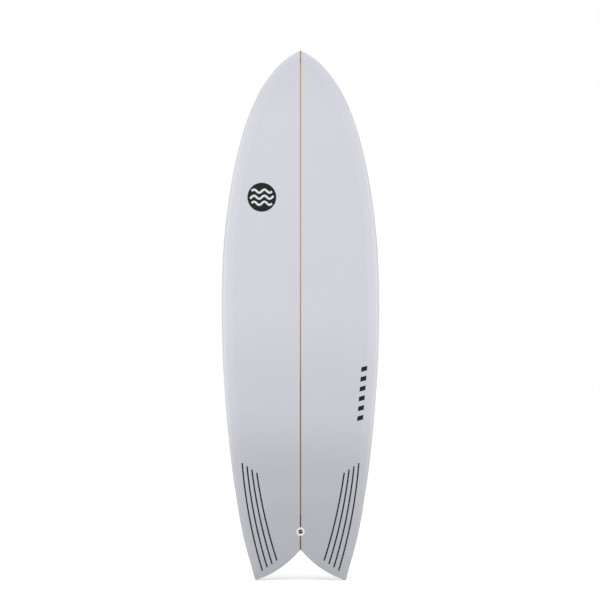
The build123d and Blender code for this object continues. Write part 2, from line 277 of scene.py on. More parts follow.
def upper_points(columns):
    """Points of the grid's rows above LOBE_TOP, rounded in at the nose's end."""
    heights = upper_heights()
    angles = np.radians(NOSE_ANGLES)
    heights = np.concatenate([heights, LENGTH - NOSE_ROUND + NOSE_ROUND * np.sin(angles)])
    shrink = np.concatenate([np.ones(len(heights) - len(angles)), np.cos(angles)])[:, None]
    z = heights[:, None] * np.ones((1, len(columns)))
    turn = turns_at(columns, z)
    x, y = around(turn, z)
    middle = bottom_line(z) - along(THICKNESSES, z) / 2
    return np.stack([x * shrink, middle + (y - middle) * shrink, z], axis=2), turn


def normals_at(turn, z):
    """Outward normals of the hull, from its slopes over a small step in height and in turn."""
    step = 0.5
    rise = 0.002
    tie = 1e-3
    xa, ya = around(turn, z - step)
    xb, yb = around(turn, z + step)
    xc, yc = around(np.clip(turn - rise, 0, 2), z)
    xd, yd = around(np.clip(turn + rise, 0, 2), z)
    lengthwise = np.stack([xb - xa, yb - ya, np.full_like(z, 2 * step)], axis=-1)
    around_rail = np.stack([xd - xc, yd - yc, np.zeros_like(z)], axis=-1)
    normal = np.cross(lengthwise, around_rail)
    normal /= np.linalg.norm(normal, axis=-1, keepdims=True)
    outward = np.where(turn < 1, -1.0, 1.0)
    facing = np.sign(normal[..., 1] * outward + normal[..., 0] * tie)
    return normal * np.where(facing == 0, 1, facing)[..., None]


def half_grid(columns):
    """All rows of the right half's grid, from the rounded tail edge to the nose, and each point's distance
    from the rail."""
    angles = np.radians(np.linspace(90, 0, EDGE_STEPS + 1))
    distances = list(EDGE_ROUND * (1 - np.sin(angles)))
    drops = list(EDGE_ROUND * (1 - np.cos(angles)))
    shares = [0.0] * len(distances) + [k / LOBE_ROWS for k in range(1, LOBE_ROWS + 1)]
    distances += [EDGE_ROUND] * LOBE_ROWS
    drops += [0.0] * LOBE_ROWS
    lobe, turn = lobe_points(distances, shares, columns)
    lobe[..., 1] -= normals_at(turn, lobe[..., 2])[..., 1] * np.array(drops)[:, None]
    upper, upper_turn = upper_points(columns)
    points = np.concatenate([lobe, upper])
    turns = np.concatenate([turn, upper_turn])
    z = points[..., 2]
    share = np.where(turns < 1, deck_share(np.clip(turns, 0, 1)), bottom_share(np.clip(2 - turns, 0, 1)))
    return points, (1 - share) * half_width(z)


def wall_line(deck, bottom):
    """Where the tail's edge wall crosses the seam, from the middle out, given both grids' first rows."""
    line = (deck[:SEAM_COLUMN + 1] + bottom[:SEAM_COLUMN + 1]) / 2
    line[:, 1] = seam_y(line[:, 2])
    line[-1] = bottom[SEAM_COLUMN]
    return line


def new_object(name, bm, materials):
    """A board piece from a bmesh in mm."""
    mesh = bpy.data.meshes.new(name)
    bmesh.ops.scale(bm, vec=Vector((MM, MM, MM)), verts=bm.verts)
    bm.to_mesh(mesh)
    bm.free()
    for material in materials:
        mesh.materials.append(material)
    piece = bpy.data.objects.new(name, mesh)
    bpy.context.scene.collection.objects.link(piece)
    return piece


def wall_rows(bm, first, edge, line, scale):
    """Rows of vertices down the tail's edge wall, from the grid's first row to the seam's line. Edge is the
    first row's points."""
    rows = [first[:SEAM_COLUMN + 1]]
    for k in range(1, WALL_STEPS + 1):
        t = k / WALL_STEPS
        points = edge[:SEAM_COLUMN + 1] * (1 - t) + line * t
        rows.append([bm.verts.new(p * scale) for p in points])
    return rows


def quads_between(bm, rows, flipped):
    """Adds the faces between rows of vertices, and gives each one with its column."""
    made = []
    for lower, upper in zip(rows, rows[1:]):
        for i in range(len(lower) - 1):
            quad = (lower[i], lower[i + 1], upper[i + 1], upper[i])
            made.append((i, bm.faces.new(quad[::-1] if flipped else quad)))
    return made


def half_skin(bm, side, mirror, grid, rail, line):
    """Adds one half of a layer of glass. Gives its faces, and each vertex's distance from the rail."""
    scale = np.array([mirror, 1, 1])
    rows = [[bm.verts.new(p * scale) for p in row] for row in grid]
    distance = {v: d for row, ds in zip(rows, rail) for v, d in zip(row, ds)}
    wall = wall_rows(bm, rows[0], grid[0], line, scale)
    for row in wall[1:]:
        distance.update(zip(row, rail[0]))
    faces = [face for _, face in quads_between(bm, wall, mirror == 1)]
    for column, face in quads_between(bm, rows, mirror == -1):
        if column == 0:
            insert = side == "deck" and max(v.co.z for v in face.verts) < INSERT_TOP + SAME_POINT
            face.material_index = INSERT_SLOT if insert else STRINGER_SLOT
        faces.append(face)
    if side == "deck":
        tip = rows[0][SEAM_COLUMN:] + [row[SEAM_COLUMN] for row in wall[-2:0:-1]]
        faces.append(bm.faces.new(tip if mirror == -1 else tip[::-1]))
    return faces, distance


def skin_mesh(side):
    """One layer of glass as an open surface in mm, both halves."""
    deck, deck_rail = half_grid(DECK_COLUMNS + RAIL_COLUMNS)
    bottom, bottom_rail = half_grid(BOTTOM_COLUMNS)
    line = wall_line(deck[0], bottom[0])
    grid, rail = (deck, deck_rail) if side == "deck" else (bottom, bottom_rail)
    bm = bmesh.new()
    layer = bm.loops.layers.uv.new("rail")
    for mirror in (1, -1):
        faces, distance = half_skin(bm, side, mirror, grid, rail, line)
        for face in faces:
            for loop in face.loops:
                loop[layer].uv = (distance[loop.vert] * MM, loop.vert.co.z * MM)
    bmesh.ops.remove_doubles(bm, verts=bm.verts, dist=SAME_POINT)
    bmesh.ops.dissolve_degenerate(bm, edges=bm.edges, dist=SHORT_EDGE)
    bmesh.ops.recalc_face_normals(bm, faces=bm.faces)
    outward = -1 if side == "deck" else 1
    if sum(f.normal.y * f.calc_area() for f in bm.faces) * outward < 0:
        bmesh.ops.reverse_faces(bm, faces=bm.faces)
    return bm


def applied(piece):
    """Makes the result of a piece's modifiers its own mesh."""
    graph = bpy.context.evaluated_depsgraph_get()
    mesh = bpy.data.meshes.new_from_object(piece.evaluated_get(graph))
    piece.modifiers.clear()
    piece.data = mesh


def cleaned(piece):
    """Removes the slivers that a cut leaves."""
    bm = bmesh.new()
    bm.from_mesh(piece.data)
    bmesh.ops.remove_doubles(bm, verts=bm.verts, dist=CUT_SAME_POINT * MM)
    bmesh.ops.dissolve_degenerate(bm, edges=bm.edges, dist=CUT_SHORT_EDGE * MM)
    bm.to_mesh(piece.data)
    bm.free()


def smoothed(piece, angle=SHARP_ANGLE):
    """Smooth shading, with sharp edges past an angle in degrees."""
    piece.data.shade_smooth()
    piece.data.set_sharp_from_angle(angle=math.radians(angle))
    return piece


def pocket_cutter(node, axis, reach=4):
    """The outline of a CAD piece seen along an axis, made solid for reach mm both ways from its outer end."""
    axis = Vector(axis).normalized()
    across = axis.cross(Vector((0, 0, 1))).normalized()
    lengthwise = across.cross(axis)
    turned = Matrix((across, lengthwise, axis))
    points = [turned @ v.co for v in NODES[node].data.vertices]
    top = max(p.z for p in points)
    bm = bmesh.new()
    for p in points:
        for height in (top - reach * MM, top + reach * MM):
            bm.verts.new(turned.transposed() @ Vector((p.x, p.y, height)))
    hull = bmesh.ops.convex_hull(bm, input=bm.verts)
    inside = [e for e in hull["geom_interior"] if isinstance(e, bmesh.types.BMVert)]
    bmesh.ops.delete(bm, geom=inside, context="VERTS")
    bmesh.ops.scale(bm, vec=Vector((1, 1, 1)) / MM, verts=bm.verts)
    return new_object("cutter_" + node, bm, [])


def skin(side, materials, pockets):
    """A layer of glass with its thickness and its pockets, standing for the CAD's."""
    node = side + "_glass"
    piece = new_object(side + "_skin", skin_mesh(side), materials)
    shell = piece.modifiers.new("shell", "SOLIDIFY")
    shell.thickness = GLASS * MM
    shell.offset = -1
    cutters = [pocket_cutter(pocket, axis) for pocket, axis in pockets]
    for cutter in cutters:
        cut = piece.modifiers.new("cut", "BOOLEAN")
        cut.operation = "DIFFERENCE"
        cut.solver = "EXACT"
        cut.object = cutter
    applied(piece)
    cleaned(piece)
    for cutter in cutters:
        bpy.data.objects.remove(cutter)
    smoothed(piece)
    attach(piece, BOARD)
    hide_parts(node)


def surface_y(side, x, z):
    """The hull's y at x and z on one side."""
    share = np.minimum(np.abs(x) / half_width(z), 1)
    return deck_y(share, z) if side == "deck" else bottom_y(share, z)


def set_in(bm, side, grid, closed, raised, material):
    """Adds a thin solid patch on the hull. Grid is an array (row, column, xz) of its places, and a closed
    grid's last row joins its first."""
    outward = -1 if side == "deck" else 1
    x, z = grid[..., 0], grid[..., 1]
    y = surface_y(side, x, z)
    layers = []
    for height in (raised, -INLAY_SUNK):
        points = np.stack([x, y + outward * height, z], axis=2)
        layers.append([[bm.verts.new(p) for p in row] for row in points])
    top, base = layers
    rows, columns = len(top), len(top[0])
    faces = []
    for i in range(rows if closed else rows - 1):
        j = (i + 1) % rows
        for k in range(columns - 1):
            faces.append(bm.faces.new((top[i][k], top[i][k + 1], top[j][k + 1], top[j][k])))
            faces.append(bm.faces.new((base[j][k], base[j][k + 1], base[i][k + 1], base[i][k])))
        for k in (0, columns - 1):
            faces.append(bm.faces.new((top[i][k], top[j][k], base[j][k], base[i][k])))
    if not closed:
        for i in (0, rows - 1):
            for k in range(columns - 1):
                faces.append(bm.faces.new((top[i][k], top[i][k + 1], base[i][k + 1], base[i][k])))
    for face in faces:
        face.material_index = material
        face.smooth = True
    return faces


def inlay(name, side, grids, materials):
    """A piece set into the glass, from its patches. Each is (grid, closed, raised, material index)."""
    bm = bmesh.new()
    for grid, closed, raised, material in grids:
        set_in(bm, side, np.array(grid, float), closed, raised, material)
    bmesh.ops.remove_doubles(bm, verts=bm.verts, dist=INLAY_SAME_POINT)
    bmesh.ops.recalc_face_normals(bm, faces=bm.faces)
    piece = smoothed(new_object(name + "_inlay", bm, materials))
    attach(piece, BOARD)
    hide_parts(name)


# ------------------------------------------------------------------------------------------------
# What is set into the glass, in mm: the same places as the CAD's.
# ------------------------------------------------------------------------------------------------
STRIP_HALF = 2.5
DECK_STRIPS = 4
DECK_STRIP_TOP = np.array((202.1, 404.0))
DECK_STRIP_TOP_STEP = np.array((-16.9, -11.0))
DECK_STRIP_FOOT = np.array((131.8, 32.0))
DECK_STRIP_FOOT_STEP = np.array((-16.8, 11.9))
DECK_STRIP_BOW = 10.2
DECK_STRIP_BOW_STEP = -1.1
BOTTOM_STRIP_ENDS = (462.5, 1250.0)
BOTTOM_STRIP_PITCH = 15.2
BOTTOM_STRIP_STAGGER = 25.0
MARK_RADIUS = 50.0
DECK_MARK = (-134.0, 1325.0)
BOTTOM_MARK = (132.0, 1320.0)
WAVE_PITCH = 21.0
WAVE_RISE = 5.5
WAVE_LENGTH = 36.0
WAVE_HALF = 3.6
WAVE_REACH = 41.0
BARS = 6
BAR_SIZE = (20.0, 16.0)
BAR_SLANT = 20.0
BAR_ROW = ((207.0, 560.0), (221.0, 730.0))
LOZENGE_HEIGHT = 293.5
LOZENGE_SIDE = 56.0
LOZENGE_LINE = 3.0
LOZENGE_CORNER = 8.0
INLAY_PROUD = 0.15
INK_PROUD = 0.25
INLAY_SUNK = 0.35
INLAY_SAME_POINT = 0.001
RIBBON_CORNER = 0.8
DISC_SPOKES = 96
LONG_SIDE = 5


def ribbon(path, half_width_mm, columns=4):
    """A band's grid of places along a path of (x, z) points, with its ends' corners a little round."""
    path = np.array(path, float)
    ahead = np.gradient(path, axis=0)
    ahead /= np.linalg.norm(ahead, axis=1, keepdims=True)
    side = np.stack([-ahead[:, 1], ahead[:, 0]], axis=1)
    travelled = np.concatenate([[0], np.cumsum(np.linalg.norm(np.diff(path, axis=0), axis=1))])
    to_end = np.minimum(travelled, travelled[-1] - travelled)
    short = np.clip(RIBBON_CORNER - to_end, 0, RIBBON_CORNER)
    narrowed = half_width_mm - RIBBON_CORNER + np.sqrt(RIBBON_CORNER ** 2 - short ** 2)
    offsets = np.linspace(-1, 1, columns + 1)
    return path[:, None, :] + side[:, None, :] * (narrowed[:, None] * offsets)[..., None]


def eased(count):
    """Shares from 0 to 1 with a few close together at each end, for a band's rounded ends."""
    ends = [0.0, 0.0008, 0.0022, 0.004]
    return np.array(ends + list(np.linspace(0.01, 0.99, count)) + [1 - e for e in reversed(ends)])


def arc_through(top, foot, bow):
    """Points of the arc from top to foot whose middle stands off the straight line by bow, towards +X."""
    middle = (top + foot) / 2 + np.array((bow, 0))
    ax, ay = top
    bx, by = middle
    cx, cy = foot
    d = 2 * (ax * (by - cy) + bx * (cy - ay) + cx * (ay - by))
    a2, b2, c2 = ax * ax + ay * ay, bx * bx + by * by, cx * cx + cy * cy
    centre = np.array((
        (a2 * (by - cy) + b2 * (cy - ay) + c2 * (ay - by)) / d,
        (a2 * (cx - bx) + b2 * (ax - cx) + c2 * (bx - ax)) / d,
    ))
    radius = np.linalg.norm(top - centre)
    start = math.atan2(*(top - centre)[::-1])
    end = math.atan2(*(foot - centre)[::-1])
    if end - start > math.pi:
        end -= 2 * math.pi
    if start - end > math.pi:
        end += 2 * math.pi
    angles = start + (end - start) * eased(56)
    return centre + radius * np.stack([np.cos(angles), np.sin(angles)], axis=1)


def deck_strips(materials):
    for i in range(DECK_STRIPS):
        top = DECK_STRIP_TOP + DECK_STRIP_TOP_STEP * i
        foot = DECK_STRIP_FOOT + DECK_STRIP_FOOT_STEP * i
        path = arc_through(top, foot, DECK_STRIP_BOW + DECK_STRIP_BOW_STEP * i)
        for side, mirror in (("right", 1), ("left", -1)):
            strip = (ribbon(path, STRIP_HALF) * (mirror, 1), False, INLAY_PROUD, 0)
            inlay(f"deck_strip_{side}_{i + 1}", "deck", [strip], materials)


def bottom_strips(materials):
    for i in range(-2, 3):
        low = BOTTOM_STRIP_ENDS[0] + abs(i) * BOTTOM_STRIP_STAGGER
        high = BOTTOM_STRIP_ENDS[1] - abs(i) * BOTTOM_STRIP_STAGGER
        heights = low + (high - low) * eased(90)
        path = np.stack([np.full_like(heights, i * BOTTOM_STRIP_PITCH), heights], axis=1)
        strip = (ribbon(path, STRIP_HALF), False, INLAY_PROUD, 0)
        inlay(f"bottom_strip_{i + 3}", "bottom", [strip], materials)


def disc(centre, radius):
    """A round patch as a closed grid of spokes, each one running from the middle to the edge."""
    angles = np.linspace(0, 2 * math.pi, DISC_SPOKES + 1)[:-1]
    radii = np.concatenate([np.linspace(0.0, 0.95, 14), [0.985, 1.0]]) * radius
    spokes = np.stack([np.cos(angles), np.sin(angles)], axis=1)
    return np.array(centre) + spokes[:, None, :] * radii[None, :, None]


def waves(centre):
    """Three wavy bands inside a round mark."""
    bands = []
    for k in (-1, 0, 1):
        rise = k * WAVE_PITCH
        reach = math.sqrt(WAVE_REACH ** 2 - rise ** 2)
        x = reach * (2 * eased(48) - 1)
        z = rise + WAVE_RISE * np.sin(2 * math.pi * x / WAVE_LENGTH)
        path = np.array(centre) + np.stack([x, z], axis=1)
        bands.append((ribbon(path, WAVE_HALF), False, INK_PROUD, 1))
    return bands


def mark(name, side, centre, materials):
    patches = [(disc(centre, MARK_RADIUS), True, INLAY_PROUD, 0)] + waves(centre)
    inlay(name, side, patches, materials)


def bars(name, side, mirror, materials):
    """A row of slanted bars that follows one rail."""
    (x0, z0), (x1, z1) = BAR_ROW
    lean = -math.atan2(x1 - x0, z1 - z0)
    turn = np.array(((math.cos(lean), math.sin(lean)), (-math.sin(lean), math.cos(lean))))
    width, height = BAR_SIZE
    across = np.array([-0.5, -0.47, -0.25, 0, 0.25, 0.47, 0.5]) * width
    up = np.array([-0.5, -0.46, -0.25, 0, 0.25, 0.46, 0.5]) * height
    slanted = across * math.tan(math.radians(BAR_SLANT))
    bar = np.stack(np.broadcast_arrays(across[None, :], up[:, None] + slanted[None, :]), axis=2) @ turn
    patches = []
    for i in range(BARS):
        share = i / (BARS - 1)
        place = np.array((x0 + share * (x1 - x0), z0 + share * (z1 - z0)))
        patches.append(((place + bar) * (mirror, 1), False, INLAY_PROUD, 0))
    inlay(name, side, patches, materials)


def rounded_square(half_side, corner, steps=8):
    """Points round a square with round corners, standing on one corner."""
    points = []
    for quarter in range(4):
        start = quarter * math.pi / 2
        centre = Vector((half_side - corner, half_side - corner))
        for k in range(steps + 1):
            angle = k * math.pi / 2 / steps
            local = centre + Vector((math.cos(angle), math.sin(angle))) * corner
            c, s = math.cos(start + math.pi / 4), math.sin(start + math.pi / 4)
            points.append((local.x * c - local.y * s, local.x * s + local.y * c))
    return np.array(points)


def subdivided(loop, times):
    """More points along each straight of a closed loop."""
    closed = np.concatenate([loop, loop[:1]])
    out = []
    for a, b in zip(closed, closed[1:]):
        count = times if np.linalg.norm(b - a) > LONG_SIDE else 1
        out += [a + (b - a) * k / count for k in range(count)]
    return np.array(out)


def lozenge(materials):
    outer = subdivided(rounded_square(LOZENGE_SIDE / 2, LOZENGE_CORNER), 8)
    inner = subdivided(rounded_square(LOZENGE_SIDE / 2 - LOZENGE_LINE, LOZENGE_CORNER - LOZENGE_LINE), 8)
    shares = np.array([0, 0.12, 0.5, 0.88, 1])[None, :, None]
    ring = outer[:, None, :] * (1 - shares) + inner[:, None, :] * shares + (0, LOZENGE_HEIGHT)
    inlay("tail_lozenge", "bottom", [(ring, True, INLAY_PROUD, 0)], materials)


# ------------------------------------------------------------------------------------------------
# Materials. Colours are linear, and lengths in metres.
# ------------------------------------------------------------------------------------------------
CLOTH_PITCH = 0.0014
TOW_WIDTH = 0.0011
# Lighter band along the rails: the cloth's lap, and partly a painted highlight for the light on the rails.
LAP_AND_RAIL_LIGHT_TONES = [(0.0, 1.05), (0.02, 1.04), (0.041, 1.03), (0.0445, 1.0)]
PLUG_PLASTIC = (0.72, 0.71, 0.64)
PLUG_SCUFFED = (0.60, 0.59, 0.53)
PLUG_RECESS_SHADE = (0.085, 0.095, 0.075)
# Colour of the painted shade in the leash plug's recess.
NYLON = (0.022, 0.023, 0.025)
NYLON_SCUFFED = (0.06, 0.062, 0.066)


class Shader:
    """A node material, built up by short calls."""

    def __init__(self, name, colour, roughness, **sockets):
        self.material = bpy.data.materials.new(name)
        self.material.use_nodes = True
        self.nodes = self.material.node_tree.nodes
        self.links = self.material.node_tree.links
        self.bsdf = self.nodes["Principled BSDF"]
        self.set("Base Color", (*colour, 1))
        self.set("Roughness", roughness)
        for socket, value in sockets.items():
            self.set(socket.replace("_", " ").title().replace("Ior", "IOR"), value)
        self.place = self.nodes.new("ShaderNodeTexCoord").outputs["Object"]

    def set(self, socket, value):
        self.bsdf.inputs[socket].default_value = value

    def link(self, output, socket):
        self.links.new(output, socket)

    def scaled(self, scale):
        node = self.nodes.new("ShaderNodeMapping")
        self.link(self.place, node.inputs["Vector"])
        node.inputs["Scale"].default_value = scale
        return node.outputs["Vector"]

    def noise(self, scale, detail=3, stretch=(1, 1, 1), roughness=0.5, distortion=0):
        node = self.nodes.new("ShaderNodeTexNoise")
        self.link(self.scaled(stretch), node.inputs["Vector"])
        node.inputs["Scale"].default_value = scale
        node.inputs["Detail"].default_value = detail
        node.inputs["Roughness"].default_value = roughness
        node.inputs["Distortion"].default_value = distortion
        return node.outputs["Fac"]

    def math(self, operation, a, b=0.0):
        node = self.nodes.new("ShaderNodeMath")
        node.operation = operation
        for socket, value in zip(node.inputs, (a, b)):
            if isinstance(value, (int, float)):
                socket.default_value = value
            else:
                self.link(value, socket)
        return node.outputs[0]

    def axis(self, name, source=None):
        node = self.nodes.new("ShaderNodeSeparateXYZ")
        self.link(source or self.place, node.inputs[0])
        return node.outputs[name]

    def from_rail(self):
        """Distance from the rail in metres, as the skin's own UV map holds it."""
        node = self.nodes.new("ShaderNodeUVMap")
        node.uv_map = "rail"
        return self.axis("X", node.outputs["UV"])

    def ramp(self, factor, stops, smooth=False):
        node = self.nodes.new("ShaderNodeValToRGB")
        node.color_ramp.interpolation = "EASE" if smooth else "LINEAR"
        while len(node.color_ramp.elements) < len(stops):
            node.color_ramp.elements.new(0.5)
        for element, (position, shade) in zip(node.color_ramp.elements, stops):
            element.position = position
            element.color = (*shade, 1) if isinstance(shade, tuple) else (shade, shade, shade, 1)
        self.link(factor, node.inputs["Fac"])
        return node.outputs["Color"]

    def mixed(self, factor, a, b, blend="MIX"):
        node = self.nodes.new("ShaderNodeMix")
        node.data_type = "RGBA"
        node.blend_type = blend
        for socket, value in ((node.inputs[0], factor), (node.inputs[6], a), (node.inputs[7], b)):
            if isinstance(value, tuple):
                socket.default_value = (*value, 1)
            elif isinstance(value, (int, float)):
                socket.default_value = value
            else:
                self.link(value, socket)
        return node.outputs[2]

    def colour(self, output):
        self.link(output, self.bsdf.inputs["Base Color"])

    def roughness(self, output, low, high):
        node = self.nodes.new("ShaderNodeMapRange")
        node.inputs["To Min"].default_value = low
        node.inputs["To Max"].default_value = high
        self.link(output, node.inputs["Value"])
        self.link(node.outputs["Result"], self.bsdf.inputs["Roughness"])

    def bump(self, height, strength, distance):
        """Adds a bump under those already there. Distance is in metres."""
        node = self.nodes.new("ShaderNodeBump")
        node.inputs["Strength"].default_value = strength
        node.inputs["Distance"].default_value = distance
        self.link(height, node.inputs["Height"])
        last = self.bsdf.inputs["Normal"]
        if last.is_linked:
            self.link(last.links[0].from_socket, node.inputs["Normal"])
        self.link(node.outputs["Normal"], last)


def resin_orange_peel(shader):
    """The slight waviness of a hand-sanded and polished resin coat."""
    shader.bump(shader.noise(26, detail=2), 0.25, 0.0006)
    shader.bump(shader.noise(7, detail=1), 0.3, 0.0012)


def cloth_weave(shader):
    """Plain-weave glass cloth under the resin, as a height."""
    turns = 2 * math.pi / CLOTH_PITCH
    across = shader.math("SINE", shader.math("MULTIPLY", shader.axis("X"), turns))
    along_board = shader.math("SINE", shader.math("MULTIPLY", shader.axis("Z"), turns))
    return shader.math("MULTIPLY", across, along_board)


def white_skin(name, tint, painted_shade_tones):
    """Clear glass over white foam. Its brightness along the board is painted shade, darker towards the tail and a
    little towards the nose. It is lighter along the rails, where the two layers of cloth lap, and that band is
    also a painted highlight for the light on the rails."""
    shader = Shader(name, tint, 0.34, coat_weight=0.5, coat_roughness=0.14, specular_ior_level=0.4)
    # Painted shade: the brightness along the board, darker towards the tail and a little towards the nose.
    height = shader.math("DIVIDE", shader.axis("Z"), LENGTH * MM)
    stops = [(place, tuple(c * tone for c in tint)) for place, tone in painted_shade_tones]
    cloudy = shader.ramp(shader.noise(5, detail=4, roughness=0.6), [(0.3, 0.985), (0.7, 1.0)])
    shade = shader.mixed(1.0, shader.ramp(height, stops, smooth=True), cloudy, "MULTIPLY")
    # Lighter within 44.5 mm of the rail: the cloth's lap, and partly a painted highlight for the light on the
    # rails.
    edge = shader.math("ADD", shader.from_rail(), shader.math("MULTIPLY", shader.noise(9, detail=2), 0.006))
    lap_and_rail_light = shader.ramp(edge, LAP_AND_RAIL_LIGHT_TONES)
    lap_and_rail_lit = shader.mixed(1.0, shade, lap_and_rail_light, "MULTIPLY")
    speckle = shader.ramp(shader.noise(900, detail=1), [(0.3, 0.99), (0.7, 1.0)])
    shader.colour(shader.mixed(1.0, lap_and_rail_lit, speckle, "MULTIPLY"))
    shader.roughness(shader.noise(14, detail=3), 0.3, 0.4)
    resin_orange_peel(shader)
    shader.bump(cloth_weave(shader), 0.06, 0.00005)
    return shader.material


def glassed_wood(name, light, dark, seams):
    """A wooden stringer under clear glass, with fine grain along the board and glue lines at its sides."""
    shader = Shader(name, light, 0.4, coat_weight=0.25, coat_roughness=0.12, specular_ior_level=0.25)
    grain = shader.noise(160, detail=6, stretch=(9, 9, 0.25), roughness=0.65, distortion=0.4)
    figure = shader.noise(18, detail=3, stretch=(6, 6, 0.35), distortion=1.2)
    mid = tuple((a + b) / 2 for a, b in zip(light, dark))
    wood = shader.ramp(grain, [(0.28, dark), (0.5, mid), (0.68, light)])
    wood = shader.mixed(shader.ramp(figure, [(0.35, 0.0), (0.7, 0.55)]), wood, dark)
    # Painted shade and light along the board: the stringer darker towards the tail, lighter over the nose half,
    # and dark in a band just short of the nose's end.
    tail = shader.ramp(shader.math("DIVIDE", shader.axis("Z"), LENGTH * MM), WOOD_PAINTED_SHADE)
    wood = shader.mixed(1.0, wood, tail, "MULTIPLY")
    side = shader.math("ABSOLUTE", shader.axis("X"))
    glue = shader.ramp(shader.math("MULTIPLY", side, 400), [(0.0, 0.0), (0.72, 0.0), (0.84, 1.0)])
    shader.colour(shader.mixed(glue, wood, seams))
    shader.roughness(grain, 0.32, 0.45)
    resin_orange_peel(shader)
    return shader.material


def dark_insert():
    """Dark hardwood at the tail, redder below the leash plug."""
    coats = {"coat_weight": 0.25, "coat_roughness": 0.12, "specular_ior_level": 0.25}
    shader = Shader("dark_hardwood_glassed", (0.06, 0.02, 0.01), 0.4, **coats)
    grain = shader.noise(170, detail=6, stretch=(9, 9, 0.2), roughness=0.7, distortion=0.5)
    brown = shader.ramp(grain, [(0.3, (0.03, 0.01, 0.005)), (0.7, (0.085, 0.028, 0.011))])
    red = shader.ramp(grain, [(0.3, (0.085, 0.028, 0.012)), (0.7, (0.17, 0.062, 0.028))])
    below = shader.ramp(shader.axis("Z"), [(0.150, 1.0), (0.158, 0.0)])
    shader.colour(shader.mixed(below, brown, red))
    shader.roughness(grain, 0.32, 0.45)
    resin_orange_peel(shader)
    return shader.material


def carbon():
    """Twill-woven carbon tape under a clear coat."""
    coats = {"coat_weight": 0.06, "coat_roughness": 0.12, "specular_ior_level": 0.1}
    shader = Shader("carbon_tape", (0.012, 0.012, 0.014), 0.34, **coats)
    across = shader.math("FLOOR", shader.math("DIVIDE", shader.axis("X"), TOW_WIDTH))
    up = shader.math("FLOOR", shader.math("DIVIDE", shader.axis("Z"), TOW_WIDTH))
    step = shader.math("FLOORED_MODULO", shader.math("ADD", across, up), 4)
    over = shader.math("LESS_THAN", step, 1.5)
    fibres = shader.ramp(shader.noise(2500, detail=1), [(0.3, 0.85), (0.7, 1.15)])
    tows = shader.mixed(over, (0.004, 0.004, 0.0045), (0.013, 0.0132, 0.014))
    shader.colour(shader.mixed(1.0, tows, fibres, "MULTIPLY"))
    shader.roughness(over, 0.28, 0.42)
    shader.bump(over, 0.3, 0.00006)
    shader.bump(shader.noise(26, detail=2), 0.25, 0.0006)
    return shader.material


def ink(name, colour, worn):
    """Printed ink under the glass, a little uneven."""
    shader = Shader(name, colour, 0.42, coat_weight=0.08, coat_roughness=0.14, specular_ior_level=0.12)
    patchy = shader.ramp(shader.noise(140, detail=5, roughness=0.7), [(0.35, colour), (0.7, worn)])
    shader.colour(patchy)
    shader.roughness(shader.noise(60, detail=3), 0.36, 0.48)
    resin_orange_peel(shader)
    return shader.material


def moulded(name, colour, pale, roughness):
    """Moulded plastic with a fine texture and scuffed patches."""
    shader = Shader(name, colour, roughness)
    scuffs = shader.ramp(shader.noise(90, detail=6, roughness=0.75), [(0.42, 0.0), (0.72, 0.6)])
    shader.colour(shader.mixed(scuffs, colour, pale))
    shader.roughness(shader.noise(120, detail=4), roughness - 0.08, roughness + 0.12)
    shader.bump(shader.noise(700, detail=3), 0.5, 0.00004)
    return shader.material


def plug_plastic():
    """The leash plug's pale plastic, with painted shade in its recess: dark within 7.3 mm of its axis."""
    shader = Shader("plug_plastic", PLUG_PLASTIC, 0.38, coat_weight=0.3, coat_roughness=0.2)
    scuffs = shader.ramp(shader.noise(90, detail=6, roughness=0.75), [(0.42, 0.0), (0.72, 0.6)])
    pale = shader.mixed(scuffs, PLUG_PLASTIC, PLUG_SCUFFED)
    across = shader.axis("X")
    up = shader.math("SUBTRACT", shader.axis("Z"), LEASH_HEIGHT * MM)
    squares = shader.math("ADD", shader.math("MULTIPLY", across, across), shader.math("MULTIPLY", up, up))
    from_axis_cm = shader.math("MULTIPLY", shader.math("SQRT", squares), 100)
    # Painted shade: dark within 7.3 mm of the plug's axis, where its recess is in shade.
    recess_shade_mask = shader.ramp(from_axis_cm, [(0.0, 1.0), (0.73, 1.0), (0.80, 0.0)])
    shader.colour(shader.mixed(recess_shade_mask, pale, PLUG_RECESS_SHADE))
    shader.roughness(shader.noise(120, detail=4), 0.30, 0.50)
    shader.bump(shader.noise(700, detail=3), 0.5, 0.00004)
    return shader.material


def potting_resin():
    """Milky resin round the boxes and the leash plug, with a few tiny bubbles."""
    shader = Shader("potting_resin", (0.62, 0.64, 0.62), 0.22, coat_weight=0.8, coat_roughness=0.06)
    cloudy = shader.ramp(shader.noise(70, detail=4), [(0.3, (0.50, 0.53, 0.52)), (0.7, (0.68, 0.70, 0.69))])
    cells = shader.nodes.new("ShaderNodeTexVoronoi")
    cells.inputs["Scale"].default_value = 420
    shader.link(shader.place, cells.inputs["Vector"])
    bubbles = shader.ramp(cells.outputs["Distance"], [(0.0, 1.0), (0.10, 1.0), (0.16, 0.0)])
    shader.colour(shader.mixed(bubbles, cloudy, (0.74, 0.76, 0.75)))
    shader.roughness(shader.noise(60, detail=2), 0.16, 0.28)
    shader.bump(shader.noise(40, detail=2), 0.3, 0.0004)
    return shader.material


def machined(name, colour, dark, roughness):
    """Turned and lightly tumbled metal, duller in its pits."""
    shader = Shader(name, colour, roughness, metallic=1.0)
    rings = shader.noise(1500, detail=3, stretch=(1, 0.2, 1))
    pits = shader.ramp(shader.noise(380, detail=5, roughness=0.7), [(0.38, dark), (0.62, colour)])
    shader.colour(pits)
    shader.roughness(rings, roughness - 0.08, roughness + 0.12)
    shader.bump(rings, 0.25, 0.00002)
    return shader.material


